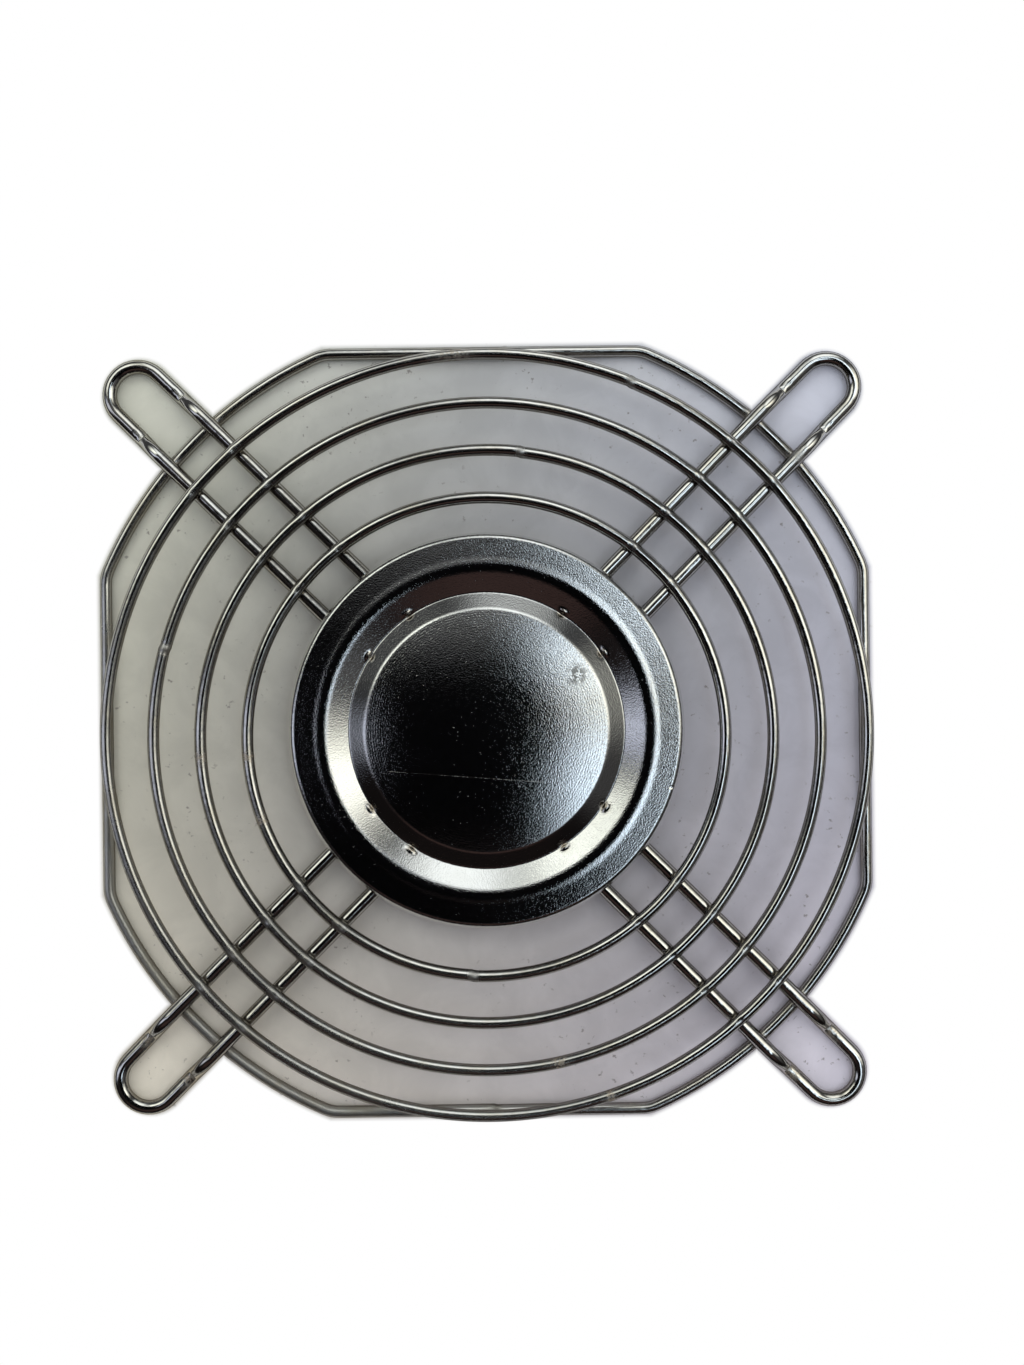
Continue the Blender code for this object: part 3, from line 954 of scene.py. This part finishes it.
def add_floor():
    """A pale table with painted shadow under the guard and painted shade beyond it, which is seen
    as lit inside the guard's outline and white beyond it.
    """
    mesh = bpy.data.meshes.new("floor")
    half = TABLE_HALF * MM
    corners = [(-half, -half, 0), (half, -half, 0), (half, half, 0), (-half, half, 0)]
    mesh.from_pydata(corners, [], [(0, 1, 2, 3)])
    floor = bpy.data.objects.new("floor", mesh)
    floor.location.z = -TABLE_DROP * MM
    bpy.context.collection.objects.link(floor)
    material, s, shader = new_material("pale_table")
    mesh.materials.append(material)
    place = s.position()
    flat = s.vector("MULTIPLY", place, (1.0, 1.0, 0.0))
    split = s.node("ShaderNodeSeparateXYZ")
    s.put(split.inputs[0], flat)
    x, y = split.outputs[0], split.outputs[1]
    # distance outside the guard's outline
    disc = s.math("SUBTRACT", s.vector("LENGTH", flat), FRAME_RADIUS + RING_WIRE / 2)
    box_x = s.math("SUBTRACT", s.math("ABSOLUTE", x), FLAT_DISTANCE + RING_WIRE / 2)
    box_y = s.math("SUBTRACT", s.math("ABSOLUTE", y), FLAT_DISTANCE + RING_WIRE / 2)
    reach = s.math("MAXIMUM", disc, s.math("MAXIMUM", box_x, box_y))
    for heading in LEGS.values():
        a = math.radians(heading)
        tip = (SCREW_RADIUS * math.cos(a), SCREW_RADIUS * math.sin(a), 0.0)
        leg = s.math("SUBTRACT", s.off_line(flat, (0.0, 0.0, 0.0), tip), LOOP_OUTLINE)
        reach = s.math("MINIMUM", reach, leg)
    base = s.mix(s.ramp(x, -75.0, 75.0), TABLE_WEST, TABLE_EAST)
    tint = s.mix(s.ramp(y, -70.0, 70.0), TABLE_SOUTH_TINT, TABLE_NORTH_TINT)
    base = s.mix(1.0, base, tint, "MULTIPLY")
    # painted shadow: the table's colour is darkened under the middle of the guard, where the
    # guard's shadow falls
    painted_guard_shadow = s.ramp(s.vector("LENGTH", flat), 26.0, 70.0, 0.70, 1.0, smooth=False)
    base = s.vector("SCALE", base, scale=painted_guard_shadow)
    smudge = s.noise(place, 0.11, 4.0, 0.6, 0.6)
    dull = s.mix(s.ramp(smudge, 0.35, 0.68), TABLE_DULL, WHITE)
    base = s.mix(1.0, base, dull, "MULTIPLY")
    crumb = s.ramp(s.noise(place, 0.75, 3.0, 0.65), 0.63, 0.70)
    crumb = s.math("MULTIPLY", crumb, s.ramp(s.noise(place, 0.05), 0.42, 0.58))
    base = s.mix(s.math("MULTIPLY", crumb, 0.6), base, TABLE_DIRT)
    # painted shade: beyond the guard the table itself is seen only in reflections, and its colour
    # is darkened, most to the south, for the shadow that falls there
    painted_far_table = s.mix(s.ramp(y, -75.0, 40.0), TABLE_FAR_SOUTH_SHADE, TABLE_FAR_NORTH)
    base = s.mix(s.ramp(reach, 4.0, 16.0), base, painted_far_table)
    s.put(shader.inputs["Base Color"], base)
    shader.inputs["Roughness"].default_value = 0.6
    shader.inputs["Specular IOR Level"].default_value = 0.2
    glow = s.node("ShaderNodeEmission")
    glow.inputs["Color"].default_value = WHITE
    path = s.node("ShaderNodeLightPath")
    bounced = s.math("MAXIMUM", path.outputs["Is Glossy Ray"], path.outputs["Is Transmission Ray"])
    white = s.math("MULTIPLY", s.ramp(reach, 0.0, 1.0), path.outputs["Is Camera Ray"])
    white = s.math("MAXIMUM", white, s.math("MULTIPLY", s.ramp(reach, 60.0, 240.0), bounced))
    blend = s.node("ShaderNodeMixShader")
    s.put(blend.inputs[0], white)
    s.put(blend.inputs[1], shader.outputs[0])
    s.put(blend.inputs[2], glow.outputs[0])
    output = material.node_tree.nodes["Material Output"]
    s.put(output.inputs["Surface"], blend.outputs[0])


def main():
    view = bpy.context.scene.view_settings
    view.view_transform = "Standard"
    add_camera()
    add_world()
    add_fill()
    add_lens_card()
    add_floor()
    ring_plate = wire_material("ring_plate", WIRE_PLATE, roughness=0.12, dull=0.16)
    leg_plate = wire_material("leg_plate", WIRE_PLATE, roughness=0.10, dull=0.0)
    frame_plate = wire_material("frame_plate", FRAME_PLATE, roughness=0.15, dull=0.28)
    for index, name in enumerate(RINGS):
        piece = front_ring(index, name).build("welded_" + name, ring_plate)
        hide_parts(name)
        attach(piece, "root")
    piece = frame_ring().build("welded_frame_ring", frame_plate)
    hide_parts("frame_ring")
    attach(piece, "root")
    for index, name in enumerate(LEGS):
        piece = corner_loop(index, name).build("bent_" + name, leg_plate)
        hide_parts(name)
        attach(piece, "root")
    piece = add_medallion()
    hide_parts("medallion")
    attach(piece, "root")


main()
